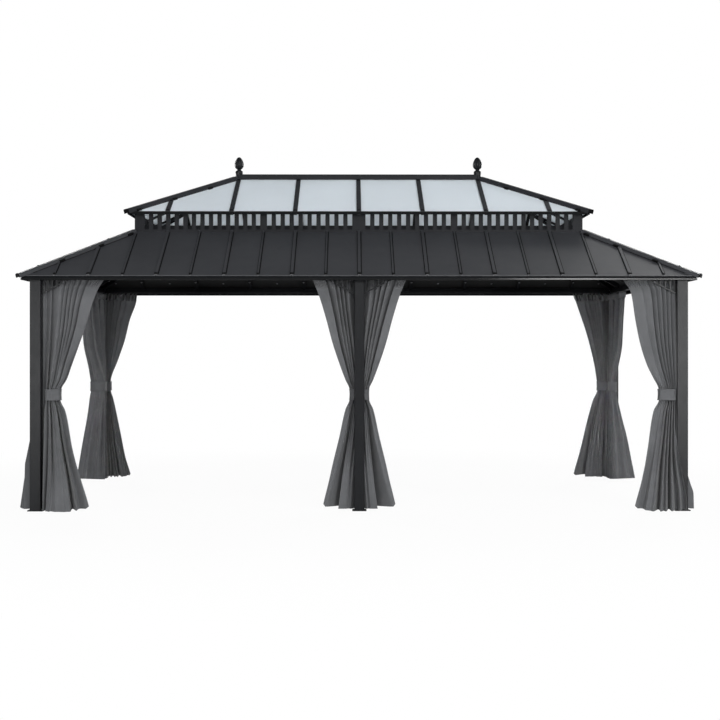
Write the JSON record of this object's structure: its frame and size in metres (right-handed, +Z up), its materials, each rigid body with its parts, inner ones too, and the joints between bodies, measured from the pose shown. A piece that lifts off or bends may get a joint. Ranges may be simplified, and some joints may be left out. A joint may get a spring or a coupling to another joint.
{
  "type": "hardtop gazebo",
  "caption": "Open-sided hardtop gazebo in dark powder-coated metal, with a hipped sheet roof, a glazed roof above a slatted vent, and tied-back curtains.",
  "frame": {"origin": "on the ground, under the middle of the ridge", "axes": "+X along the ridge to the right, +Y to the back, +Z up; the pictured long side faces -Y"},
  "size_m": [6.056, 3.696, 3.319],
  "materials": {
    "frame_metal": "satin powder coat, charcoal",
    "roof_sheet": "satin powder-coated steel sheet, charcoal",
    "panes": "frosted translucent sheet, pale blue-grey",
    "curtain": "plain woven cloth, mid grey",
    "tie_band": "plain woven cloth, mid grey"
  },
  "bodies": {
    "root": {"post_front_left": "frame_metal", "post_front_middle": "frame_metal", "post_front_right": "frame_metal", "post_back_left": "frame_metal", "post_back_middle": "frame_metal", "post_back_right": "frame_metal", "base_plates": "frame_metal", "front_beams": "frame_metal", "back_beams": "frame_metal", "side_beams": "frame_metal", "curtain_rails": "frame_metal", "braces_front": "frame_metal", "braces_back": "frame_metal", "braces_left": "frame_metal", "braces_right": "frame_metal", "rafters": "frame_metal", "hip_rafters": "frame_metal", "fascia": "frame_metal", "vent_curb": "frame_metal", "vent_front": "frame_metal", "vent_right": "frame_metal", "vent_back": "frame_metal", "vent_left": "frame_metal", "glazing_bars": "frame_metal", "upper_hip_bars": "frame_metal", "ridge_bar": "frame_metal", "upper_eave_trim": "frame_metal", "finials": "frame_metal", "seam_caps": "frame_metal", "lower_hip_caps": "frame_metal", "lower_roof_front": "roof_sheet", "lower_roof_right": "roof_sheet", "lower_roof_back": "roof_sheet", "lower_roof_left": "roof_sheet", "upper_panes_front": "panes", "upper_panes_right": "panes", "upper_panes_back": "panes", "upper_panes_left": "panes", "curtains_front_left": "curtain", "curtains_front_middle": "curtain", "curtains_front_right": "curtain", "curtains_back_left": "curtain", "curtains_back_middle": "curtain", "curtains_back_right": "curtain", "curtain_ties": "tie_band"}
  },
  "joints": []
}
